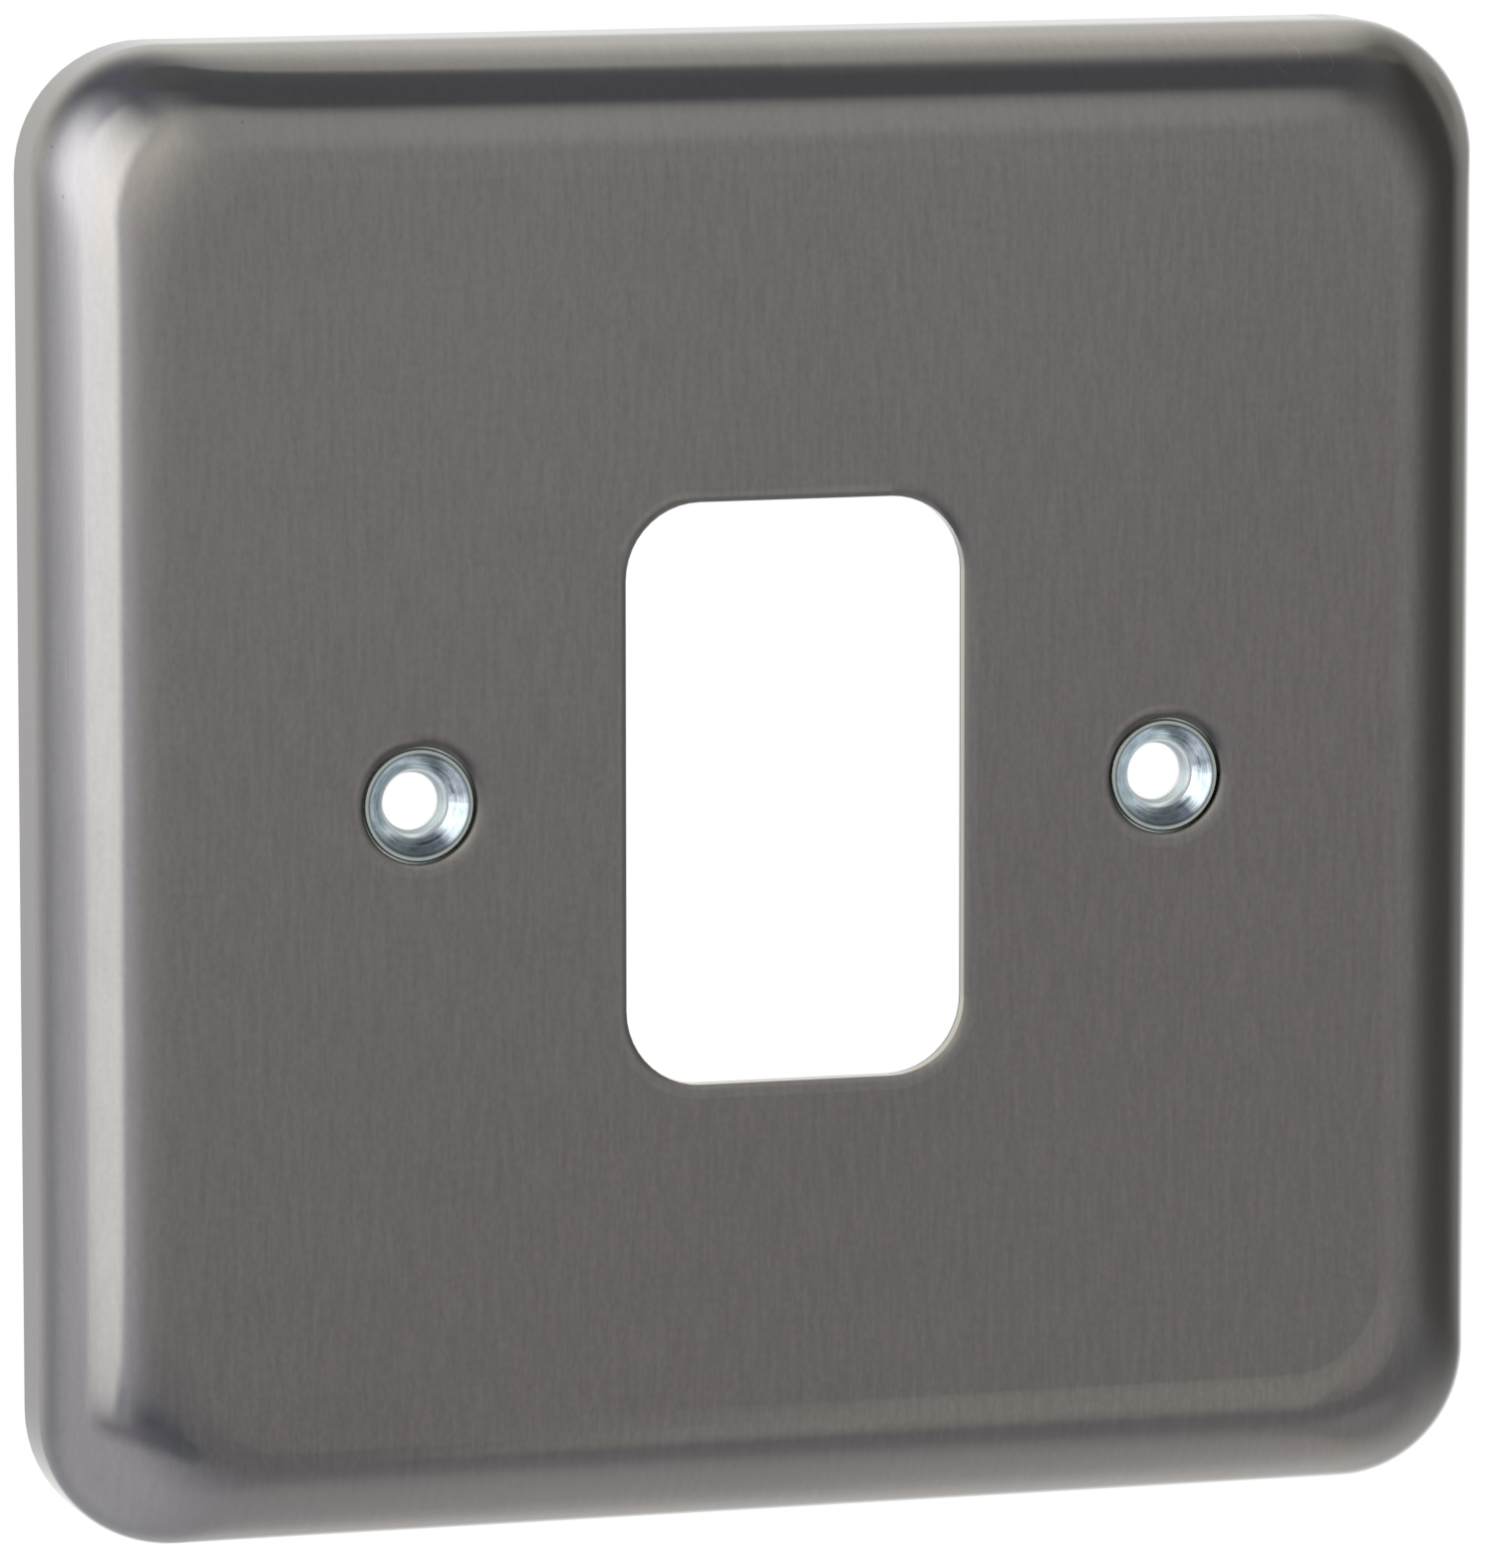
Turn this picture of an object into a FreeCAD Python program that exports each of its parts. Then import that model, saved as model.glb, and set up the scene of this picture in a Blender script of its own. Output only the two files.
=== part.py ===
"""One-gang grid switch plate: a pressed metal shell with two turned screw bushes.

Millimetres. The wall is the plane y = 0 and the plate stands out from it towards -Y, with +Z up
and +X to the right as seen from the front. The origin is the centre of the rear rim, level with
the two bushes and the middle of the window.
"""
import FreeCAD, Part
import math
import os

import Sketcher

DIMENSIONS = (
    ("plate_width", 86.0, "standard one-gang front"),
    ("plate_height", 86.0, "standard one-gang front"),
    ("plate_depth", 11.0, "wall to front face"),
    ("sheet_thickness", 1.0, "pressed steel sheet"),
    ("plan_corner_radius", 7.5, "corner of the outline seen from the front"),
    ("edge_roll_radius", 7.5, "roll between front face and side walls"),
    ("face_corner_radius", 5.5, "corner of the flat face, where the roll begins"),
    ("window_width", 20.2, "opening for one switch module"),
    ("window_height", 33.5, "opening for one switch module"),
    ("window_corner_radius", 4.4, "corner of the module opening"),
    ("rollover_width", 0.8, "band that the punch drags down round each opening"),
    ("rollover_drop", 0.2, "how far that band sinks at the opening"),
    ("bush_spacing", 44.6, "between the two screw axes"),
    ("bush_setback", 0.25, "front rim below the front face"),
    ("bush_length", 2.4, "front rim to rear end"),
    ("bush_rim_radius", 3.25, "front end of a bush"),
    ("bush_rim_width", 0.32, "flat ring round the countersink"),
    ("bush_gap", 0.12, "round the bush in its punched hole"),
    ("bush_edge_break", 0.08, "small bevel on the outer edges of a bush"),
    ("countersink_depth", 1.08, "seat for the screw head"),
    ("bore_radius", 1.85, "clearance for an M3.5 screw"),
    ("bore_entry_rounding", 0.5, "between countersink and bore"),
    ("flange_radius", 4.6, "collar seated behind the sheet"),
    ("flange_thickness", 0.8, "collar seated behind the sheet"),
    ("tail_radius", 3.0, "rear end of a bush"),
    ("cut_margin", 1.0, "how far a cutting profile runs past the metal"),
)

NO_INSET = "0"
SHEET = "Dimensions.sheet_thickness"
BUSH_OFFSET = "Dimensions.bush_spacing / 2"
BUSH_HOLE_RADIUS = "Dimensions.bush_rim_radius + Dimensions.bush_gap"
BUSH_HOLE_EDGE = BUSH_OFFSET + " + " + BUSH_HOLE_RADIUS
WINDOW_EDGE = "Dimensions.window_width / 2"
COUNTERSINK_RADIUS = "Dimensions.bush_rim_radius - Dimensions.bush_rim_width"
FLANGE_FRONT = "Dimensions.sheet_thickness - Dimensions.bush_setback"
FLANGE_BACK = FLANGE_FRONT + " + Dimensions.flange_thickness"
# The band round an opening is an arc that leaves the front face without a crease.
ROLLOVER_RADIUS = (
    "(Dimensions.rollover_width ^ 2 + Dimensions.rollover_drop ^ 2) / (2 * Dimensions.rollover_drop)"
)

START = 1
END = 2
CENTRE = 3
ORIGIN = (-1, START)
SIDE_AXIS = -1
UP = FreeCAD.Vector(0, 0, 1)
QUARTER_TURN = math.pi / 2
FULL_TURN = 360.0
RING_MATCH = 1e-3
RIGHT_ANGLE = 90.0
# Stretches that the roll is drawn in, from the side wall round to the front face.
ROLL_STRETCHES = 12

doc = FreeCAD.newDocument("grid_switch_plate")
sheet = doc.addObject("Spreadsheet::Sheet", "Dimensions")
for row, (alias, number, note) in enumerate(DIMENSIONS, start=1):
    sheet.set("A%d" % row, alias)
    sheet.set("B%d" % row, str(number))
    sheet.set("C%d" % row, note)
    sheet.setAlias("B%d" % row, alias)
doc.recompute()


def value(expression):
    """Number that an expression in the driving dimensions comes to."""
    return float(sheet.evalExpression(expression))


def origin_item(body, role):
    """One of the body's own origin planes or axes."""
    return next(item for item in body.Origin.OriginFeatures if item.Role == role)


def new_body(name):
    """Empty body with its node name as its label."""
    body = doc.addObject("PartDesign::Body", name)
    body.Label = name
    return body


def new_sketch(body, name, role):
    """Sketch on one of the body's own origin planes."""
    sketch = body.newObject("Sketcher::SketchObject", name)
    sketch.AttachmentSupport = [(origin_item(body, role), "")]
    sketch.MapMode = "FlatFace"
    return sketch


def constrain(sketch, kind, *elements):
    """Geometric rule between elements of a sketch."""
    sketch.addConstraint(Sketcher.Constraint(kind, *elements))


def bind(sketch, name, expression, kind, *elements):
    """Dimension of a sketch, driven by an expression."""
    index = sketch.addConstraint(Sketcher.Constraint(kind, *elements, value(expression)))
    sketch.renameConstraint(index, name)
    sketch.setExpression("Constraints." + name, expression)


def add_line(sketch, start, end):
    """Straight element between two points given as (x, y)."""
    return sketch.addGeometry(Part.LineSegment(FreeCAD.Vector(*start, 0), FreeCAD.Vector(*end, 0)))


def add_arc(sketch, centre, radius, first_angle, last_angle):
    """Round element, anticlockwise from the first angle to the last."""
    circle = Part.Circle(FreeCAD.Vector(*centre, 0), UP, radius)
    return sketch.addGeometry(Part.ArcOfCircle(circle, first_angle, last_angle))


def rounded_rectangle(sketch, width, height, corner):
    """Rounded rectangle centred on the sketch's origin, sized by three expressions."""
    half_x = value(width) / 2
    half_y = value(height) / 2
    radius = value(corner)
    inner_x = half_x - radius
    inner_y = half_y - radius
    bottom = add_line(sketch, (-inner_x, -half_y), (inner_x, -half_y))
    arcs = [add_arc(sketch, (inner_x, -inner_y), radius, -QUARTER_TURN, 0)]
    right = add_line(sketch, (half_x, -inner_y), (half_x, inner_y))
    arcs.append(add_arc(sketch, (inner_x, inner_y), radius, 0, QUARTER_TURN))
    top = add_line(sketch, (inner_x, half_y), (-inner_x, half_y))
    arcs.append(add_arc(sketch, (-inner_x, inner_y), radius, QUARTER_TURN, 2 * QUARTER_TURN))
    left = add_line(sketch, (-half_x, inner_y), (-half_x, -inner_y))
    arcs.append(add_arc(sketch, (-inner_x, -inner_y), radius, 2 * QUARTER_TURN, 3 * QUARTER_TURN))
    count = sketch.GeometryCount
    for index in range(count):
        constrain(sketch, "Tangent", index, END, (index + 1) % count, START)
    for line in (bottom, top):
        constrain(sketch, "Horizontal", line)
    for line in (left, right):
        constrain(sketch, "Vertical", line)
    for arc in arcs[1:]:
        constrain(sketch, "Equal", arcs[0], arc)
    constrain(sketch, "Symmetric", bottom, START, top, START, *ORIGIN)
    bind(sketch, "overall_width", width, "DistanceX", left, START, right, START)
    bind(sketch, "overall_height", height, "DistanceY", bottom, START, top, START)
    bind(sketch, "corner_radius", corner, "Radius", arcs[0])


def offset_circle(sketch, offset, radius):
    """Circle on the sketch's side axis, its centre and radius given by expressions."""
    centre = FreeCAD.Vector(value(offset), 0, 0)
    circle = sketch.addGeometry(Part.Circle(centre, UP, value(radius)))
    constrain(sketch, "PointOnObject", circle, CENTRE, SIDE_AXIS)
    bind(sketch, "axis_offset", offset, "DistanceX", *ORIGIN, circle, CENTRE)
    bind(sketch, "circle_radius", radius, "Radius", circle)


def rollover_profile(sketch, edge):
    """Section removed beside an opening whose edge lies at the given expression along +X."""
    face = -value("Dimensions.plate_depth")
    rim = value(edge)
    width = value("Dimensions.rollover_width")
    drop = value("Dimensions.rollover_drop")
    margin = value("Dimensions.cut_margin")
    radius = value(ROLLOVER_RADIUS)
    spread = math.asin(width / radius)
    outer = rim + width
    inner = rim - margin
    arc = add_arc(sketch, (outer, face + radius), radius, -QUARTER_TURN - spread, -QUARTER_TURN)
    fall = add_line(sketch, (outer, face), (outer, face - margin))
    base = add_line(sketch, (outer, face - margin), (inner, face - margin))
    rise = add_line(sketch, (inner, face - margin), (inner, face + drop))
    lid = add_line(sketch, (inner, face + drop), (rim, face + drop))
    count = sketch.GeometryCount
    for index in range(count):
        constrain(sketch, "Coincident", index, END, (index + 1) % count, START)
    for line in (fall, rise):
        constrain(sketch, "Vertical", line)
    for line in (base, lid):
        constrain(sketch, "Horizontal", line)
    constrain(sketch, "Vertical", arc, CENTRE, arc, END)
    bind(sketch, "arc_radius", ROLLOVER_RADIUS, "Radius", arc)
    bind(sketch, "opening_edge", edge, "DistanceX", *ORIGIN, arc, START)
    bind(sketch, "band_width", "Dimensions.rollover_width", "DistanceX", arc, START, arc, END)
    bind(sketch, "face_level", "Dimensions.plate_depth", "DistanceY", arc, END, *ORIGIN)
    bind(sketch, "clear_of_face", "Dimensions.cut_margin", "DistanceY", fall, END, fall, START)
    bind(sketch, "clear_of_edge", "Dimensions.cut_margin", "DistanceX", lid, START, lid, END)


def add_pocket(body, name, sketch):
    """Cut from the wall plane right through the metal."""
    pocket = body.newObject("PartDesign::Pocket", name)
    pocket.Profile = sketch
    pocket.Reversed = True
    pocket.Type = "ThroughAll"
    doc.recompute()
    return pocket


def roll_section(body, name, inset, angle):
    """Rounded rectangle round the roll, inset from the outer skin, at an angle from the front face.

    Its size, its level and its corner radius all follow the same quarter turn, so the roll widens
    a little as it goes round each corner, and it meets the flat face and the walls without a crease.
    """
    roll = "(Dimensions.edge_roll_radius - %s)" % inset
    spread = "(Dimensions.plan_corner_radius - %s - Dimensions.face_corner_radius)" % inset
    narrowing = "2 * (%s + %s * (1 - sin(%g deg)))" % (inset, roll, angle)
    corner = "Dimensions.face_corner_radius + %s * sin(%g deg)" % (spread, angle)
    level = "Dimensions.plate_depth - %s - %s * (1 - cos(%g deg))" % (inset, roll, angle)
    section = new_sketch(body, name, "XZ_Plane")
    rounded_rectangle(
        section,
        "Dimensions.plate_width - " + narrowing,
        "Dimensions.plate_height - " + narrowing,
        corner,
    )
    section.setExpression("AttachmentOffset.Base.z", level)
    return section


def rolled_form(body, name, inset, wall_kind, roll_kind):
    """Straight side walls and the roll that leads from them into the flat face."""
    sections = []
    for step in range(ROLL_STRETCHES + 1):
        angle = RIGHT_ANGLE * (ROLL_STRETCHES - step) / ROLL_STRETCHES
        sections.append(roll_section(body, "%s_section_%d" % (name, step), inset, angle))
    doc.recompute()
    walls = body.newObject(wall_kind, name + "_walls")
    walls.Profile = sections[0]
    walls.Reversed = wall_kind == "PartDesign::Pad"
    walls.setExpression("Length", "Dimensions.plate_depth - Dimensions.edge_roll_radius")
    doc.recompute()
    roll = body.newObject(roll_kind, name + "_roll")
    roll.Profile = sections[0]
    roll.Sections = sections[1:]
    doc.recompute()


def add_rollover(body, name, opening, edge):
    """Soft band round an opening, swept along the opening's own outline."""
    profile = new_sketch(body, name + "_profile", "XY_Plane")
    rollover_profile(profile, edge)
    doc.recompute()
    pipe = body.newObject("PartDesign::SubtractivePipe", name)
    pipe.Profile = profile
    pipe.Spine = opening
    doc.recompute()
    return pipe


def front_plate():
    """Pressed shell: rolled edges, open back, module window and two bush holes."""
    body = new_body("front_plate")

    rolled_form(body, "skin", NO_INSET, "PartDesign::Pad", "PartDesign::AdditiveLoft")
    rolled_form(body, "hollow", SHEET, "PartDesign::Pocket", "PartDesign::SubtractiveLoft")

    window = new_sketch(body, "window", "XZ_Plane")
    rounded_rectangle(
        window, "Dimensions.window_width", "Dimensions.window_height", "Dimensions.window_corner_radius"
    )
    add_pocket(body, "window_cut", window)
    add_rollover(body, "window_rollover", window, WINDOW_EDGE)

    hole = new_sketch(body, "bush_hole", "XZ_Plane")
    offset_circle(hole, BUSH_OFFSET, BUSH_HOLE_RADIUS)
    hole_cut = add_pocket(body, "bush_hole_cut", hole)
    hole_rollover = add_rollover(body, "bush_hole_rollover", hole, BUSH_HOLE_EDGE)
    twin = body.newObject("PartDesign::Mirrored", "second_bush_hole")
    twin.Originals = [hole_cut, hole_rollover]
    twin.MirrorPlane = (origin_item(body, "YZ_Plane"), "")
    body.Tip = twin
    doc.recompute()
    return body


def bush_profile(sketch):
    """Half section of a bush: distance from its axis across, depth behind its rim upwards."""
    rim = value("Dimensions.bush_rim_radius")
    mouth = value(COUNTERSINK_RADIUS)
    bore = value("Dimensions.bore_radius")
    sink = value("Dimensions.countersink_depth")
    rear = value("Dimensions.bush_length")
    tail = value("Dimensions.tail_radius")
    flange = value("Dimensions.flange_radius")
    seat = value(FLANGE_FRONT)
    back = value(FLANGE_BACK)
    corners = (
        (bore, sink),
        (bore, rear),
        (tail, rear),
        (tail, back),
        (flange, back),
        (flange, seat),
        (rim, seat),
        (rim, 0),
        (mouth, 0),
    )
    count = len(corners)
    lines = [add_line(sketch, corners[index], corners[(index + 1) % count]) for index in range(count)]
    bore_wall, rear_end, tail_wall, flange_back, flange_wall, seat_face, collar, rim_face, cone = lines
    for index in range(count):
        constrain(sketch, "Coincident", index, END, (index + 1) % count, START)
    for line in (bore_wall, tail_wall, flange_wall, collar):
        constrain(sketch, "Vertical", line)
    for line in (rear_end, flange_back, seat_face, rim_face):
        constrain(sketch, "Horizontal", line)
    constrain(sketch, "PointOnObject", rim_face, START, SIDE_AXIS)
    bind(sketch, "bore", "Dimensions.bore_radius", "DistanceX", *ORIGIN, bore_wall, START)
    bind(sketch, "mouth", COUNTERSINK_RADIUS, "DistanceX", *ORIGIN, rim_face, END)
    bind(sketch, "rim", "Dimensions.bush_rim_radius", "DistanceX", *ORIGIN, rim_face, START)
    bind(sketch, "flange", "Dimensions.flange_radius", "DistanceX", *ORIGIN, flange_wall, START)
    bind(sketch, "tail", "Dimensions.tail_radius", "DistanceX", *ORIGIN, tail_wall, START)
    bind(sketch, "sink", "Dimensions.countersink_depth", "DistanceY", *ORIGIN, bore_wall, START)
    bind(sketch, "seat", FLANGE_FRONT, "DistanceY", *ORIGIN, seat_face, START)
    bind(sketch, "back", FLANGE_BACK, "DistanceY", *ORIGIN, flange_back, START)
    bind(sketch, "rear", "Dimensions.bush_length", "DistanceY", *ORIGIN, rear_end, START)


def ring_edges(shape, rings):
    """Names of the circular edges at the given (radius, level) pairs about the body's Y axis."""
    names = []
    for number, edge in enumerate(shape.Edges, start=1):
        box = edge.BoundBox
        for radius, level in rings:
            round_enough = abs(box.XMax - radius) < RING_MATCH and abs(box.ZMax - radius) < RING_MATCH
            if round_enough and abs(box.YMin - level) < RING_MATCH and abs(box.YMax - level) < RING_MATCH:
                names.append("Edge%d" % number)
    return names


def screw_bush(name, offset):
    """Turned bush: countersunk screw seat in front, a collar that seats behind the sheet."""
    body = new_body(name)
    section = new_sketch(body, name + "_section", "XY_Plane")
    bush_profile(section)
    doc.recompute()
    turned = body.newObject("PartDesign::Revolution", name + "_turned")
    turned.Profile = section
    turned.ReferenceAxis = (section, ["V_Axis"])
    turned.Angle = FULL_TURN
    doc.recompute()

    entry = body.newObject("PartDesign::Fillet", name + "_bore_entry")
    entry_ring = (value("Dimensions.bore_radius"), value("Dimensions.countersink_depth"))
    entry.Base = (turned, ring_edges(turned.Shape, [entry_ring]))
    entry.setExpression("Radius", "Dimensions.bore_entry_rounding")
    doc.recompute()

    bevel = body.newObject("PartDesign::Chamfer", name + "_edge_break")
    outer_rings = (
        (value("Dimensions.bush_rim_radius"), 0),
        (value("Dimensions.flange_radius"), value(FLANGE_FRONT)),
        (value("Dimensions.flange_radius"), value(FLANGE_BACK)),
        (value("Dimensions.tail_radius"), value("Dimensions.bush_length")),
    )
    bevel.Base = (entry, ring_edges(entry.Shape, outer_rings))
    bevel.setExpression("Size", "Dimensions.bush_edge_break")
    body.setExpression("Placement.Base.x", offset)
    body.setExpression("Placement.Base.y", "Dimensions.bush_setback - Dimensions.plate_depth")
    doc.recompute()
    return body


def check_document(nodes):
    """Stop before anything is written if a feature failed or a piece isn't one sound solid."""
    for item in doc.Objects:
        if "Invalid" in item.State or "Error" in item.State:
            raise RuntimeError("feature failed: " + item.Name)
    for node in nodes:
        shape = node.Shape
        if shape.isNull() or not shape.isValid() or len(shape.Solids) != 1:
            raise RuntimeError("not one sound solid: " + node.Label)


nodes = [
    front_plate(),
    screw_bush("screw_bush_left", "-" + BUSH_OFFSET),
    screw_bush("screw_bush_right", BUSH_OFFSET),
]
check_document(nodes)
os.makedirs("parts", exist_ok=True)
for node in nodes:
    node.Shape.exportStep("parts/%s.step" % node.Label)
    box = node.Shape.BoundBox
    print(
        "%s: %.1f mm3, %d faces, x %.2f..%.2f, y %.2f..%.2f, z %.2f..%.2f"
        % (
            node.Label,
            node.Shape.Volume,
            len(node.Shape.Faces),
            box.XMin,
            box.XMax,
            box.YMin,
            box.YMax,
            box.ZMin,
            box.ZMax,
        )
    )
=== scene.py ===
"""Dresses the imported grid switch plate: a brushed metal front plate with two turned screw bushes.

Everything is in metres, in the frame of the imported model: the wall is the plane y = 0, the front
face looks along -y, z is up, and the origin is the middle of the rear rim.
"""
import math

import bpy
from mathutils import Matrix, Vector


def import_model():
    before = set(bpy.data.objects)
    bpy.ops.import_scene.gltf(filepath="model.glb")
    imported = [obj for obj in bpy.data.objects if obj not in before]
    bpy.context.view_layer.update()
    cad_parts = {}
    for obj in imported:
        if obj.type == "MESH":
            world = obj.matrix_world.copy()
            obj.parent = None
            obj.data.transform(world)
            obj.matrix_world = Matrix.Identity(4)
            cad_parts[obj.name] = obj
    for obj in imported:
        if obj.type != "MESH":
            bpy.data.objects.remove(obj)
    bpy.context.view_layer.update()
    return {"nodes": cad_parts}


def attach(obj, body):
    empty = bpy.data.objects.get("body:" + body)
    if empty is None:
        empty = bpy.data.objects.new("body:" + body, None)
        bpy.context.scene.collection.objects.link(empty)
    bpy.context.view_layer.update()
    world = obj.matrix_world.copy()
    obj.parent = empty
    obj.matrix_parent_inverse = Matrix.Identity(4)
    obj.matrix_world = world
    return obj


MILLIMETRE = 0.001

# camera
PICTURE_WIDTH = 1493
PICTURE_HEIGHT = 1573
FOCAL_PIXELS = 11917.8
SENSOR_SIDE = 36.0
CAMERA_TARGET = Vector((-3.147, -11.0, 0.518)) * MILLIMETRE
CAMERA_DISTANCE = 678.26 * MILLIMETRE
CAMERA_AZIMUTH = -16.88
CAMERA_ELEVATION = 7.529
CAMERA_ROLL = -0.04
# nearest and farthest that it sees, in metres
CAMERA_SEES = (0.05, 20.0)

# stage
FLOOR_LEVEL = -0.20
FLOOR_RADIUS = 0.25
FLOOR_SOLID_RADIUS = 0.12
FLOOR_SEGMENTS = 96
FLOOR_GRAIN = 60.0
FLOOR_DARK = (0.86, 0.86, 0.85, 1)
FLOOR_LIGHT = (0.90, 0.90, 0.89, 1)

# Studio walls as round patches, each laid over those before it: azimuth and elevation of the
# middle, radius of the even part, radius of the outer edge, and the light in red, green and blue.
# Azimuth 0 is straight out of the front face, 90 to its right and 180 behind it.
WALL_LIGHT = (0.40, 0.40, 0.42)
STUDIO_PATCHES = {
    "floor sweep": (0, -90, 1, 37, (0.73, 0.69, 0.61)),
    "white backdrop": (-162, 21, 89, 159, (1.25, 1.24, 1.19)),
    "backdrop end": (118, 46, 1, 134, (0.14, 0.17, 0.20)),
    "ceiling": (0, 90, 3, 116, (1.40, 1.40, 1.29)),
    "dark ceiling, left": (-101, 62, 15, 64, (0.25, 0.27, 0.32)),
    "dark ceiling, middle": (91, 90, 15, 20, (0.22, 0.24, 0.24)),
    "room, right": (36, 19, 1, 55, (0.52, 0.52, 0.52)),
    "black screen, right": (93, 20, 18, 57, (0.13, 0.13, 0.12)),
    "black screen, top": (43, 62, 12, 35, (0.18, 0.19, 0.21)),
    "light over the camera": (15, 41, 1, 23, (0.66, 0.67, 0.66)),
    "room, left": (-95, -47, 28, 74, (0.21, 0.24, 0.32)),
    "soft light, spill": (-82, 11, 1, 58, (1.29, 1.35, 1.48)),
    "table edge": (-9, -34, 5, 7, (0.25, 0.28, 0.27)),
    "table top": (26, -19, 14, 16, (0.47, 0.46, 0.46)),
    "reflector, left": (-87, -51, 18, 67, (0.93, 0.95, 1.03)),
    "table edge, left": (-47, -22, 2, 6, (0.66, 0.71, 0.78)),
    "stand, far right": (120, 17, 1, 33, (0.60, 0.60, 0.57)),
    "backdrop foot": (177, -20, 1, 28, (0.53, 0.53, 0.58)),
    "table, bright spot": (31, -18, 1, 12, (0.59, 0.58, 0.57)),
    "table, right": (57, -48, 1, 15, (0.54, 0.54, 0.56)),
    "gap beside the stand": (105, 20, 1, 14, (0.40, 0.40, 0.38)),
    "light over the screen": (104, 49, 1, 10, (0.34, 0.34, 0.31)),
}

# Panels laid over the patches: azimuth and elevation of the middle, turn in degrees, half width,
# half height and the soft part of each as tangents, and the light.
STUDIO_PANELS = {
    "soft light": (-60.2, 15.2, -18.7, 0.327, 0.501, 0.090, 0.545, (2.52, 2.57, 2.48)),
    "light strip, low right": (23.2, -26.8, 5.3, 0.075, 0.223, 0.016, 0.135, (0.63, 0.63, 0.60)),
    "dark gap, low left": (-20.9, -29.9, -6.0, 0.237, 0.115, 0.217, 0.102, (0.19, 0.22, 0.27)),
    "soft light, far half": (-82.2, 17.8, -17.2, 0.343, 0.375, 0.409, 0.290, (2.54, 2.64, 2.78)),
    "dark line, low left": (-45.2, -30.8, -8.0, 0.497, 0.039, 0.285, 0.109, (0.37, 0.37, 0.43)),
}

# rays nearer than this to a panel's own plane miss it
PANEL_LEAST_DEPTH = 0.05

# White backdrop behind the plate. The metal mirrors it too, round the middle of the view, as far as
# these radii of its even part and of its outer edge.
BACKDROP_LIGHT = (1, 1, 1, 1)
BACKDROP_EVEN = 12
BACKDROP_EDGE = 35

# lamp over the floor, which the metal doesn't mirror
TOP_LAMP_HEIGHT = 0.9
TOP_LAMP_SIDE = 0.8
TOP_LAMP_POWER = 1.5

# rolled edge in millimetres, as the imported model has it: its radius, the height of the side wall
# below it, and how far from the middle the corners start at the flat face and at the outline
ROLL_RADIUS = 7.5
WALL_HEIGHT = 3.5
FACE_CORNER_START = 30.0
RIM_CORNER_START = 35.5
# how softly the corners start to bend, in millimetres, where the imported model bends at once
CORNER_SOFTNESS = 2.0
# the worked-out skin takes over from the mesh's own direction where the two are this alike, and
# this far from the middle
SKIN_ALIKE = (0.88, 0.95)
SKIN_BEGINS = (27.5, 29.5)

# window and bush holes in millimetres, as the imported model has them
WINDOW_WIDTH = 20.2
WINDOW_HEIGHT = 33.5
WINDOW_CORNER = 4.4
BUSH_OFFSET = 22.3
BUSH_HOLE_RADIUS = 3.37
BORE_RADIUS = 1.85

# Narrowed far end of a bore, in millimetres: radius and level round its section. Its outside is
# sunk a little into the bore's wall.
LIP_OUTSIDE = BORE_RADIUS + 0.01
LIP_SECTION = (
    (LIP_OUTSIDE, -8.80),
    (1.70, -8.80),
    (1.66, -8.75),
    (1.66, -8.42),
    (1.70, -8.37),
    (LIP_OUTSIDE, -8.37),
)
LIP_SEGMENTS = 128

# Small marks, in millimetres. Scratches and smears are parts of circles seen from the front: the
# middle x and z, the radius, the angle of the arc's middle from the x axis, half the angle that
# it spans, and half its width. Specks are dark spots: the middle x, y and z, and the radius.
SCRATCHES = (
    (30.70, 41.35, 0.52, 0, 50, 0.05),
    (32.30, 41.00, 0.78, -30, 48, 0.04),
    (30.25, 40.85, 0.55, 225, 40, 0.04),
)
SEAT_SMEARS = (
    (-BUSH_OFFSET, 0.0, 2.30, -68, 17, 0.10),
    (-BUSH_OFFSET, 0.0, 2.25, 21, 7, 0.12),
    (BUSH_OFFSET, 0.0, 2.40, 16, 8, 0.09),
    (BUSH_OFFSET, 0.0, 2.26, -52, 13, 0.11),
    (BUSH_OFFSET, 0.0, 2.72, 96, 12, 0.05),
)
SPECKS = (
    (-42.22, -5.95, 37.50, 0.14),
    (-41.98, -7.05, 35.25, 0.11),
    (-41.92, -7.35, 34.80, 0.13),
    (-32.25, -10.15, 38.95, 0.12),
)

SCRATCH_STRENGTH = 0.45
SMEAR_STRENGTH = 0.7
SPECK_STRENGTH = 0.5
SPECK_CORE = 0.3
# where an arc fades out and where it is full, as shares of its half angle
ARC_ENDS = (1.3, 0.7)

# finish of the shell: colours, and depths in millimetres; a pair says where a change starts and
# where it ends
SHELL_DARK = (0.250, 0.234, 0.228, 1)
SHELL_LIGHT = (0.329, 0.308, 0.301, 1)
SHELL_CUT = (0.55, 0.52, 0.47, 1)
# dark colour of burrs and specks, also used for painted shade above the holes and a painted shadow
# round the bushes
SHELL_MARKS_AND_SHADE = (0.10, 0.09, 0.08, 1)
SHELL_SCRATCH = (0.60, 0.58, 0.54, 1)
SHELL_TONES = (0.25, 0.75)
# painted shade: how much darker the shell's colour is painted with each millimetre to the right and
# down
PAINTED_SHADE_RIGHT = 0.0008
PAINTED_SHADE_DOWN = 0.0016
SHELL_ROUGHNESS = 0.09
STREAK_ROUGHNESS = 0.05
STREAK_DEPTH = 0.0008
# scales of the noise across the brushing and along it
HAIR = (2.5, 0.3)
GRAIN = (3.2, 2.0)
CLOUD_SCALE = 0.045
CLOUD_DETAIL = 2.0
CLOUD_ROUGHNESS = 0.5
CLOUD_SHARE = 0.15
ROLL_STREAKS = 0.45
FACES_SIDEWAYS = (0.7, 0.95)
FACES_FRONT = (0.9, 0.999)
LIFT_WIDTH = 0.9
LIFT_HEIGHT = 0.012
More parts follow.
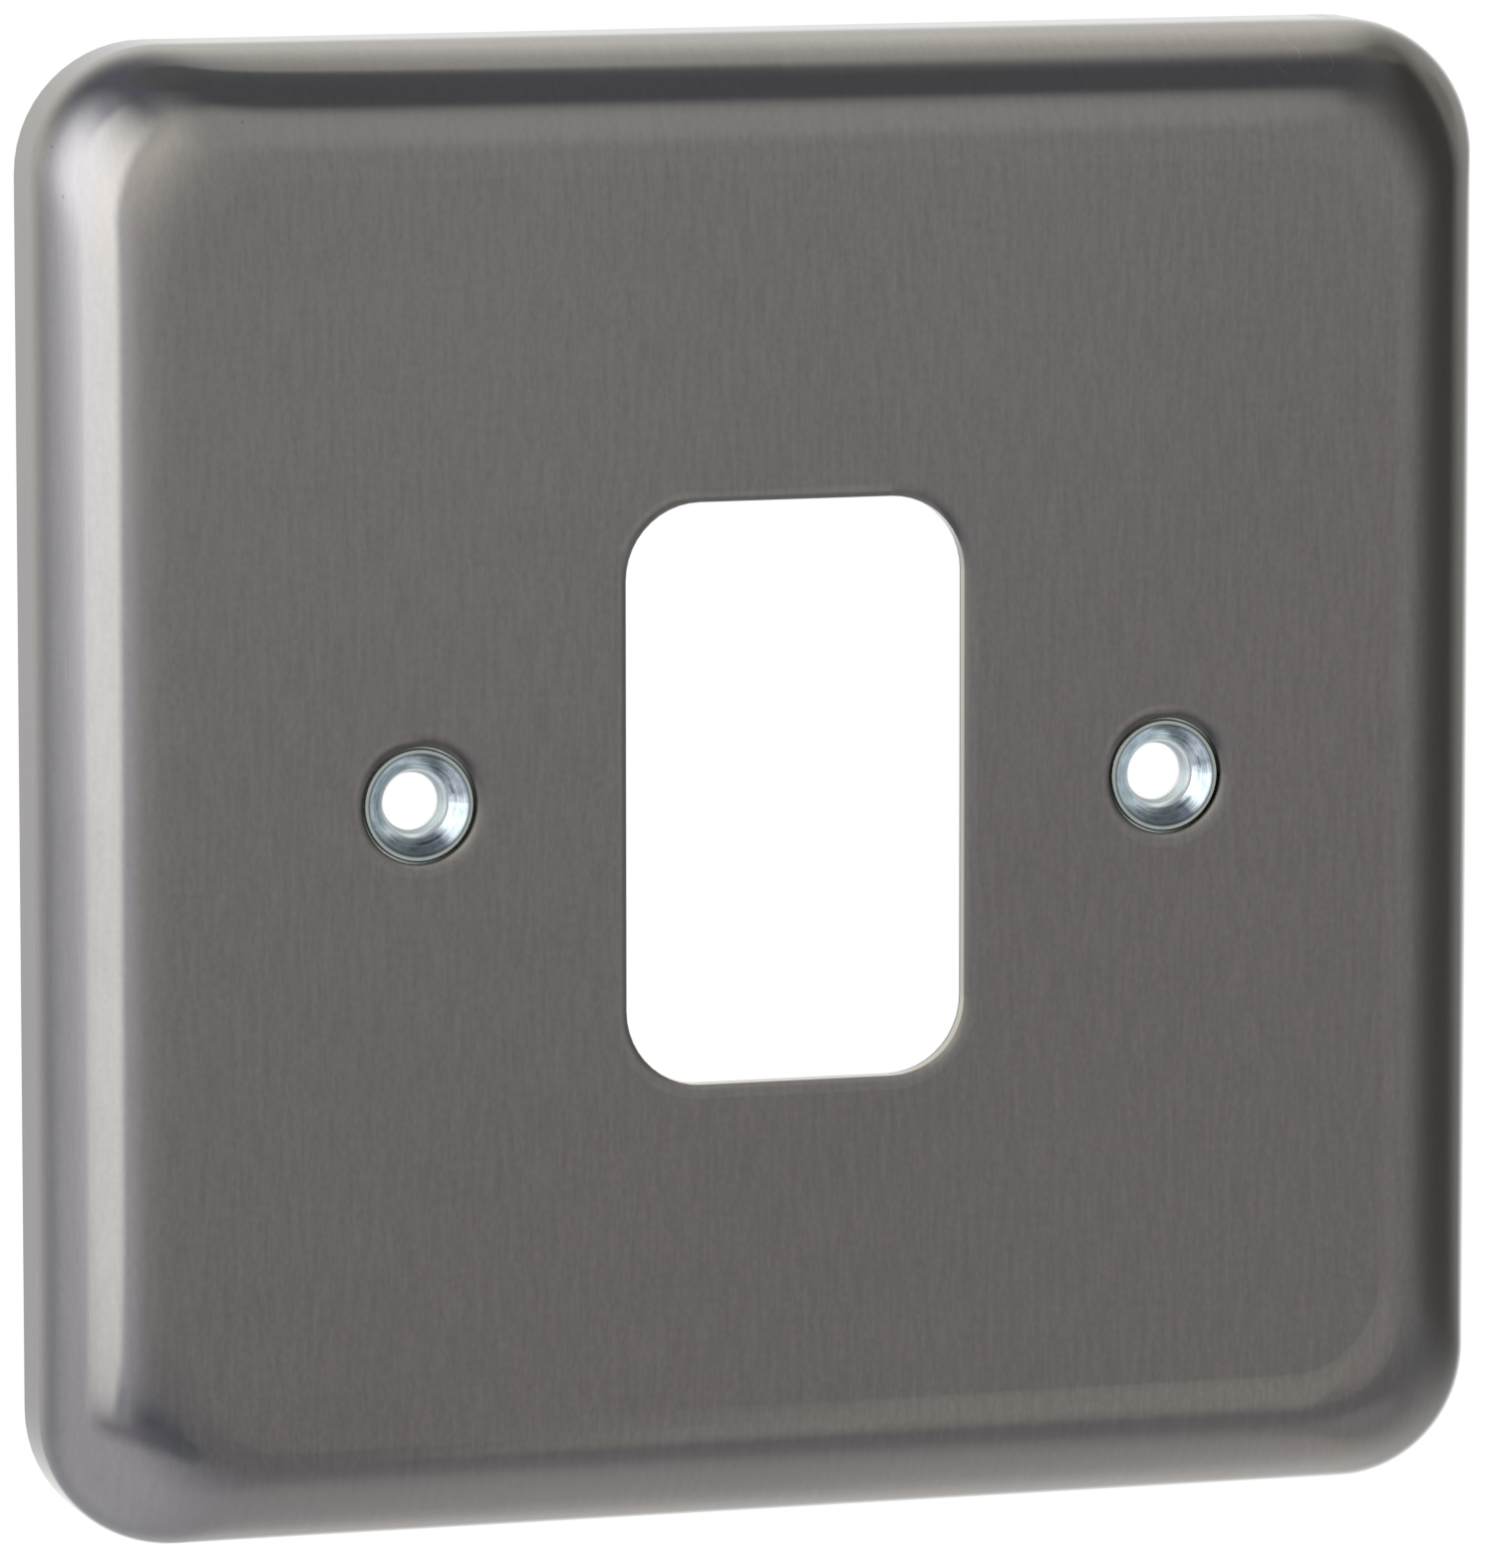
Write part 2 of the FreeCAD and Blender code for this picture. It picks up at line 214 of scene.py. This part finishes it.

# edges of the window and the bush holes: distances from the edge, levels of y, heights z, and
# the strength of the painted shade above each
CUT_EDGE = (0.06, 0.02)
CUT_BURR = (-10.2, -10.1)
# painted shadow in the gap round each bush: where the dark line starts and where it is full
BUSH_GAP_SHADOW = (0.10, 0.03)
NEAR_BUSH = (0.75, 0.20)
ABOVE_BUSH = (1.0, 3.0)
BUSH_SHADE = 0.60
NEAR_WINDOW = (0.80, 0.20)
ABOVE_WINDOW = (13.0, 16.0)
WINDOW_SHADE = 0.10

# finish of the bushes: colours, radii and depths in millimetres
ZINC_SEAT_DARK = (0.20, 0.25, 0.28, 1)
ZINC_SEAT_LIGHT = (0.60, 0.65, 0.68, 1)
ZINC_RIM_DARK = (0.58, 0.66, 0.63, 1)
ZINC_RIM_LIGHT = (0.74, 0.80, 0.76, 1)
ZINC_GROOVE = (0.22, 0.26, 0.27, 1)
ZINC_SMEAR = (0.05, 0.06, 0.06, 1)
# painted light: the wall inside the bore is coloured much paler than the rest of the zinc
ZINC_BORE_PAINTED_LIGHT = (0.82, 0.87, 0.88, 1)
ZINC_TONES = (0.3, 0.7)
ZINC_ROUGHNESS = 0.08
PATCH_ROUGHNESS = 0.08
BORE_ROUGHNESS = 0.25
RIM_BEGINS = (2.94, 3.02)
GROOVE_RADIUS = 2.93
GROOVE_EDGE = (0.09, 0.02)
BORE_BEGINS = (2.1, 1.9)
RING_SCALE = 8.0
RING_SHARE = 0.6
RING_DEPTH = 0.006
PATCH_SCALE = 1.6


class Wire:
    """A socket of a shader, on which sums and products add Math nodes."""

    def __init__(self, shader, socket):
        self.shader = shader
        self.socket = socket

    def __add__(self, other):
        return self.shader.maths("ADD", self, other)

    def __radd__(self, other):
        return self.shader.maths("ADD", other, self)

    def __sub__(self, other):
        return self.shader.maths("SUBTRACT", self, other)

    def __rsub__(self, other):
        return self.shader.maths("SUBTRACT", other, self)

    def __mul__(self, other):
        return self.shader.maths("MULTIPLY", self, other)

    def __rmul__(self, other):
        return self.shader.maths("MULTIPLY", other, self)

    def __truediv__(self, other):
        return self.shader.maths("DIVIDE", self, other)

    def __rtruediv__(self, other):
        return self.shader.maths("DIVIDE", other, self)

    def __abs__(self):
        return self.shader.maths("ABSOLUTE", self)


class Shader:
    """The node tree of one material or of the world."""

    def __init__(self, owner):
        owner.use_nodes = True
        self.tree = owner.node_tree
        self.tree.nodes.clear()

    def node(self, kind, settings=None, values=None, out=0):
        """Adds a node: its settings first, then its sockets' values or links. Gives one output."""
        made = self.tree.nodes.new(kind)
        for name, value in (settings or {}).items():
            setattr(made, name, value)
        for name, value in (values or {}).items():
            socket = made.inputs[name]
            if isinstance(value, Wire):
                self.tree.links.new(value.socket, socket)
            else:
                socket.default_value = value
        return Wire(self, made.outputs[out]) if len(made.outputs) else made

    def maths(self, operation, *values):
        return self.node("ShaderNodeMath", {"operation": operation}, dict(enumerate(values)))

    def most(self, first, second):
        return self.maths("MAXIMUM", first, second)

    def root(self, value):
        return self.maths("SQRT", value)

    def reach(self, across, upright):
        """Distance from 0 of two measures at right angles."""
        return self.root(across * across + upright * upright)

    def vector_maths(self, operation, first, second, out=0):
        settings = {"operation": operation}
        return self.node("ShaderNodeVectorMath", settings, {0: first, 1: second}, out)

    def dot(self, first, second):
        return self.vector_maths("DOT_PRODUCT", first, second, "Value")

    def place(self):
        """Where the surface lies, in millimetres."""
        metres = self.node("ShaderNodeTexCoord", None, None, "Object")
        return self.vector_maths("MULTIPLY", metres, (1 / MILLIMETRE,) * 3)

    def split(self, vector):
        return [self.node("ShaderNodeSeparateXYZ", None, {0: vector}, axis) for axis in range(3)]

    def join(self, x, y, z):
        return self.node("ShaderNodeCombineXYZ", None, {0: x, 1: y, 2: z})

    def smooth(self, value, low, high):
        """0 at low, 1 at high, and a soft change between them; low may be the greater one."""
        if low > high:
            return 1 - self.smooth(value, high, low)
        settings = {"interpolation_type": "SMOOTHSTEP"}
        values = {"Value": value, "From Min": low, "From Max": high}
        return self.node("ShaderNodeMapRange", settings, values)

    def noise(self, vector, scale=1.0, detail=3.0, roughness=0.6):
        values = {"Vector": vector, "Scale": scale, "Detail": detail, "Roughness": roughness}
        return self.node("ShaderNodeTexNoise", {"noise_dimensions": "3D"}, values)

    def lean(self, amount, first, second):
        """A vector between two others."""
        values = {0: amount, 4: first, 5: second}
        return self.node("ShaderNodeMix", {"data_type": "VECTOR"}, values, 1)

    def blend(self, amount, first, second):
        """A colour between two others."""
        values = {0: amount, 6: first, 7: second}
        return self.node("ShaderNodeMix", {"data_type": "RGBA"}, values, 2)


def from_window(shader, x, z):
    """Distance along the face from the window's edge, in millimetres."""
    across = shader.most(abs(x) - (WINDOW_WIDTH / 2 - WINDOW_CORNER), 0.0)
    upright = shader.most(abs(z) - (WINDOW_HEIGHT / 2 - WINDOW_CORNER), 0.0)
    return shader.reach(across, upright) - WINDOW_CORNER


def from_bush(shader, x, z):
    """Distance from the axis of the nearer bush, in millimetres."""
    return shader.reach(abs(x) - BUSH_OFFSET, z)


def skin_normal(shader, x, y, z, facing):
    """Which way the outer skin faces, from its sizes, so that its corners start to bend softly."""
    towards_front = (y + WALL_HEIGHT) * (-1.0 / ROLL_RADIUS)
    front = shader.maths("MINIMUM", shader.most(towards_front, 0.0), 1.0)
    outward = shader.root(1 - front * front)
    start = outward * (RIM_CORNER_START - FACE_CORNER_START) + FACE_CORNER_START
    past_x, past_z = abs(x) - start, abs(z) - start
    bend_x = past_x + shader.root(past_x * past_x + CORNER_SOFTNESS ** 2)
    bend_z = past_z + shader.root(past_z * past_z + CORNER_SOFTNESS ** 2)
    size = shader.reach(bend_x, bend_z)
    flatter = (RIM_CORNER_START - FACE_CORNER_START) / ROLL_RADIUS
    front = front * (((bend_x + bend_z) / size - 1) * flatter + 1)
    turned_x = bend_x / size * outward * shader.maths("SIGN", x)
    turned_z = bend_z / size * outward * shader.maths("SIGN", z)
    turned = shader.join(turned_x, front * -1.0, turned_z)
    skin = shader.node("ShaderNodeVectorMath", {"operation": "NORMALIZE"}, {0: turned})
    alike = shader.smooth(shader.dot(skin, facing), *SKIN_ALIKE)
    far_out = shader.smooth(shader.most(abs(x), abs(z)), *SKIN_BEGINS)
    return shader.lean(alike * far_out, facing, skin)


def on_arcs(shader, x, z, arcs):
    """1 on thin parts of circles, 0 elsewhere."""
    found = 0.0
    for middle_x, middle_z, radius, angle, half_angle, half_width in arcs:
        across, upright = x - middle_x, z - middle_z
        out = shader.reach(across, upright)
        beside = shader.smooth(abs(out - radius), 0.0, half_width)
        turn = math.radians(angle)
        towards = (across * math.cos(turn) + upright * math.sin(turn)) / out
        ends = [math.cos(math.radians(half_angle * share)) for share in ARC_ENDS]
        found = shader.most(found, (1 - beside) * shader.smooth(towards, *ends))
    return found


def specked(shader, place):
    """1 on the small dark specks, 0 elsewhere."""
    found = 0.0
    for *middle, radius in SPECKS:
        away = shader.vector_maths("DISTANCE", place, middle, "Value")
        found = shader.most(found, shader.smooth(away, radius, SPECK_CORE * radius))
    return found


def brush_marks(shader, x, y, z, across, along):
    """Noise drawn out upright, with its scales across the brushing and along it."""
    return shader.noise(shader.join(x * across, y * across, z * along))


def end_metal(shader, colour, roughness, height, skin=None):
    """Last nodes of a metal; the height is in millimetres. Without a skin the mesh's own counts."""
    relief = {"Strength": 1.0, "Distance": MILLIMETRE, "Height": height}
    if skin is not None:
        relief["Normal"] = skin
    bump = shader.node("ShaderNodeBump", None, relief)
    metal = {"Base Color": colour, "Metallic": 1.0, "Roughness": roughness, "Normal": bump}
    surface = shader.node("ShaderNodeBsdfPrincipled", None, metal)
    shader.node("ShaderNodeOutputMaterial", None, {"Surface": surface})


def finish_shell():
    """Steel brushed upright over face, rolls and corners, bare and bright on its cut edges."""
    material = bpy.data.materials.new("brushed_shell_finish")
    shader = Shader(material)
    place = shader.place()
    x, y, z = shader.split(place)
    facing = shader.node("ShaderNodeNewGeometry", None, None, "Normal")
    nx, ny, _ = shader.split(facing)
    sideways = shader.smooth(abs(nx), *FACES_SIDEWAYS)
    flat = shader.smooth(abs(ny), *FACES_FRONT)

    hair = brush_marks(shader, x, y * sideways, z, *HAIR)
    grain = brush_marks(shader, x, y * sideways, z, *GRAIN)
    cloud = shader.noise(place, CLOUD_SCALE, CLOUD_DETAIL, CLOUD_ROUGHNESS)

    streak = ((hair + grain) * 0.5 - 0.5) * (flat * (1 - ROLL_STREAKS) + ROLL_STREAKS)
    # painted shade: the colour darkens towards the lower right
    painted_slope_shade = x * PAINTED_SHADE_RIGHT - z * PAINTED_SHADE_DOWN
    tone = streak + (cloud - 0.5) * CLOUD_SHARE + 0.5 - painted_slope_shade
    colour = shader.blend(shader.smooth(tone, *SHELL_TONES), SHELL_DARK, SHELL_LIGHT)
    window = from_window(shader, x, z)
    hole = from_bush(shader, x, z) - BUSH_HOLE_RADIUS
    cut = shader.smooth(window, *CUT_EDGE)
    colour = shader.blend(cut, colour, SHELL_CUT)
    burr = cut * shader.smooth(y, *CUT_BURR)
    # painted shadow in the gap round each bush, and a dark burr on the window's rear edge
    gap_shadow = shader.smooth(hole, *BUSH_GAP_SHADOW)
    colour = shader.blend(shader.most(burr, gap_shadow), colour, SHELL_MARKS_AND_SHADE)
    # painted shade above the bushes and the window, darkest next to each hole
    above_bush = shader.smooth(hole, *NEAR_BUSH) * shader.smooth(z, *ABOVE_BUSH)
    above_window = shader.smooth(window, *NEAR_WINDOW) * shader.smooth(z, *ABOVE_WINDOW)
    shade = shader.most(above_bush * BUSH_SHADE, above_window * WINDOW_SHADE)
    colour = shader.blend(shade, colour, SHELL_MARKS_AND_SHADE)
    scratched = on_arcs(shader, x, z, SCRATCHES) * SCRATCH_STRENGTH
    colour = shader.blend(scratched, colour, SHELL_SCRATCH)
    colour = shader.blend(specked(shader, place) * SPECK_STRENGTH, colour, SHELL_MARKS_AND_SHADE)
    height = streak * STREAK_DEPTH + shader.smooth(hole, LIFT_WIDTH, 0.0) * LIFT_HEIGHT
    roughness = SHELL_ROUGHNESS + streak * STREAK_ROUGHNESS
    end_metal(shader, colour, roughness, height, skin_normal(shader, x, y, z, facing))
    return material


def finish_bush():
    """Bright zinc, darker inside the rim, with the fine rings that turning leaves."""
    material = bpy.data.materials.new("zinc_bush_finish")
    shader = Shader(material)
    place = shader.place()
    x, y, z = shader.split(place)
    radius = from_bush(shader, x, z)
    rings = shader.noise(shader.join(radius * RING_SCALE, y * RING_SCALE, 0.0))
    patches = shader.noise(place, PATCH_SCALE)
    tone = shader.smooth(rings * RING_SHARE + patches * (1 - RING_SHARE), *ZINC_TONES)
    seat = shader.blend(tone, ZINC_SEAT_DARK, ZINC_SEAT_LIGHT)
    rim = shader.blend(tone, ZINC_RIM_DARK, ZINC_RIM_LIGHT)
    colour = shader.blend(shader.smooth(radius, *RIM_BEGINS), seat, rim)
    groove = shader.smooth(abs(radius - GROOVE_RADIUS), *GROOVE_EDGE)
    colour = shader.blend(groove, colour, ZINC_GROOVE)
    smeared = on_arcs(shader, x, z, SEAT_SMEARS) * SMEAR_STRENGTH
    colour = shader.blend(smeared, colour, ZINC_SMEAR)
    # painted light on the bore wall, which is coloured paler
    bore = shader.smooth(radius, *BORE_BEGINS)
    colour = shader.blend(bore, colour, ZINC_BORE_PAINTED_LIGHT)
    roughness = ZINC_ROUGHNESS + patches * PATCH_ROUGHNESS + bore * BORE_ROUGHNESS
    end_metal(shader, colour, roughness, rings * RING_DEPTH)
    return material


def direction(azimuth, elevation):
    """Azimuth 0 is straight out of the front face and 90 is to its right."""
    a, e = math.radians(azimuth), math.radians(elevation)
    return Vector((math.sin(a) * math.cos(e), -math.cos(a) * math.cos(e), math.sin(e)))


def round_patch(shader, ray, middle, inner, outer):
    """1 within the inner radius round a direction, 0 beyond the outer one, both in degrees."""
    towards = shader.dot(ray, middle)
    return shader.smooth(towards, math.cos(math.radians(outer)), math.cos(math.radians(inner)))


def light_panel(shader, ray, azimuth, elevation, turn, width, height, soft_width, soft_height):
    """1 inside an upright panel turned about its middle, 0 outside; sizes are tangents."""
    ahead = direction(azimuth, elevation)
    side = Vector((0, 0, 1)).cross(ahead).normalized()
    up = ahead.cross(side)
    turned = math.radians(turn)
    wide = side * math.cos(turned) + up * math.sin(turned)
    tall = up * math.cos(turned) - side * math.sin(turned)
    depth = shader.dot(ray, ahead)
    in_front = shader.maths("GREATER_THAN", depth, PANEL_LEAST_DEPTH)
    depth = shader.most(depth, PANEL_LEAST_DEPTH)
    across = abs(shader.dot(ray, wide)) / depth
    upright = abs(shader.dot(ray, tall)) / depth
    within = shader.smooth(across, width + soft_width, width - soft_width)
    return within * shader.smooth(upright, height + soft_height, height - soft_height) * in_front


def build_world():
    """Studio walls as the metal mirrors them, and plain white where the camera looks past it."""
    world = bpy.data.worlds.new("studio")
    bpy.context.scene.world = world
    shader = Shader(world)
    ray = shader.node("ShaderNodeTexCoord", None, None, "Generated")
    light = (*WALL_LIGHT, 1.0)
    for azimuth, elevation, inner, outer, colour in STUDIO_PATCHES.values():
        within = round_patch(shader, ray, direction(azimuth, elevation), inner, outer)
        light = shader.blend(within, light, (*colour, 1.0))
    for *shape, colour in STUDIO_PANELS.values():
        light = shader.blend(light_panel(shader, ray, *shape), light, (*colour, 1.0))

    walls = shader.node("ShaderNodeBackground", None, {"Color": light, "Strength": 1.0})
    white = shader.node("ShaderNodeBackground", None, {"Color": BACKDROP_LIGHT, "Strength": 1.0})
    away = -direction(CAMERA_AZIMUTH, CAMERA_ELEVATION)
    behind = round_patch(shader, ray, away, BACKDROP_EVEN, BACKDROP_EDGE)
    camera_ray, through_ray, mirrored_ray = [
        shader.node("ShaderNodeLightPath", None, None, f"Is {kind} Ray")
        for kind in ("Camera", "Transmission", "Glossy")
    ]
    seen = shader.most(shader.most(camera_ray, through_ray), mirrored_ray * behind)
    both = shader.node("ShaderNodeMixShader", None, {0: seen, 1: walls, 2: white})
    shader.node("ShaderNodeOutputWorld", None, {"Surface": both})


def add_object(name, data):
    made = bpy.data.objects.new(name, data)
    bpy.context.scene.collection.objects.link(made)
    return made


def build_bore_lip(name, middle_x, zinc):
    """Turned ring that narrows the far end of a bore."""
    count = len(LIP_SECTION)
    points, faces = [], []
    for step in range(LIP_SEGMENTS):
        turn = 2 * math.pi * step / LIP_SEGMENTS
        for radius, level in LIP_SECTION:
            place = (middle_x + radius * math.cos(turn), level, radius * math.sin(turn))
            points.append(Vector(place) * MILLIMETRE)
    for step in range(LIP_SEGMENTS):
        here, beyond = step * count, (step + 1) % LIP_SEGMENTS * count
        for side in range(count):
            ahead = (side + 1) % count
            faces.append((here + side, beyond + side, beyond + ahead, here + ahead))
    mesh = bpy.data.meshes.new(name)
    mesh.from_pydata(points, [], faces)
    mesh.materials.append(zinc)
    lip = add_object(name, mesh)
    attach(lip, "root")


def build_top_lamp():
    data = bpy.data.lights.new("top_lamp", "AREA")
    data.size = TOP_LAMP_SIDE
    data.energy = TOP_LAMP_POWER
    lamp = add_object("top_lamp", data)
    lamp.location = (0.0, 0.0, TOP_LAMP_HEIGHT)
    lamp.visible_camera = False
    lamp.visible_glossy = False


def build_floor():
    """A round pale floor below the plate, fading into the white background at its rim."""
    points = [(0.0, 0.0, FLOOR_LEVEL)]
    for step in range(FLOOR_SEGMENTS):
        turn = 2 * math.pi * step / FLOOR_SEGMENTS
        points.append((FLOOR_RADIUS * math.cos(turn), FLOOR_RADIUS * math.sin(turn), FLOOR_LEVEL))
    faces = [(0, 1 + step, 1 + (step + 1) % FLOOR_SEGMENTS) for step in range(FLOOR_SEGMENTS)]
    mesh = bpy.data.meshes.new("floor")
    mesh.from_pydata(points, [], faces)
    floor = add_object("floor", mesh)

    material = bpy.data.materials.new("pale_floor")
    shader = Shader(material)
    place = shader.node("ShaderNodeTexCoord", None, None, "Object")
    out = shader.vector_maths("LENGTH", place, (0, 0, 0), "Value")
    paper = shader.noise(place, FLOOR_GRAIN)
    colour = shader.blend(paper, FLOOR_DARK, FLOOR_LIGHT)
    pale = shader.node("ShaderNodeBsdfDiffuse", None, {"Color": colour})
    clear = shader.node("ShaderNodeBsdfTransparent")
    fade = shader.smooth(out, FLOOR_SOLID_RADIUS, FLOOR_RADIUS)
    mixed = shader.node("ShaderNodeMixShader", None, {0: fade, 1: pale, 2: clear})
    shader.node("ShaderNodeOutputMaterial", None, {"Surface": mixed})
    mesh.materials.append(material)


def build_camera():
    back = direction(CAMERA_AZIMUTH, CAMERA_ELEVATION)
    data = bpy.data.cameras.new("camera")
    data.sensor_fit = "AUTO"
    data.sensor_width = SENSOR_SIDE
    data.lens = FOCAL_PIXELS * SENSOR_SIDE / max(PICTURE_WIDTH, PICTURE_HEIGHT)
    data.clip_start, data.clip_end = CAMERA_SEES
    camera = add_object("camera", data)
    turned = (-back).to_track_quat("-Z", "Y").to_matrix().to_4x4()
    rolled = turned @ Matrix.Rotation(math.radians(CAMERA_ROLL), 4, "Z")
    camera.matrix_world = Matrix.Translation(CAMERA_TARGET + back * CAMERA_DISTANCE) @ rolled
    bpy.context.scene.camera = camera


def main():
    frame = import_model()

    shell = finish_shell()
    zinc = finish_bush()
    frame["nodes"]["front_plate"].material_slots[0].material = shell
    for name in ("screw_bush_left", "screw_bush_right"):
        frame["nodes"][name].material_slots[0].material = zinc

    build_bore_lip("bore_lip_left", -BUSH_OFFSET, zinc)
    build_bore_lip("bore_lip_right", BUSH_OFFSET, zinc)

    build_world()
    build_floor()
    build_top_lamp()
    build_camera()
    bpy.context.scene.view_settings.view_transform = "Standard"


main()
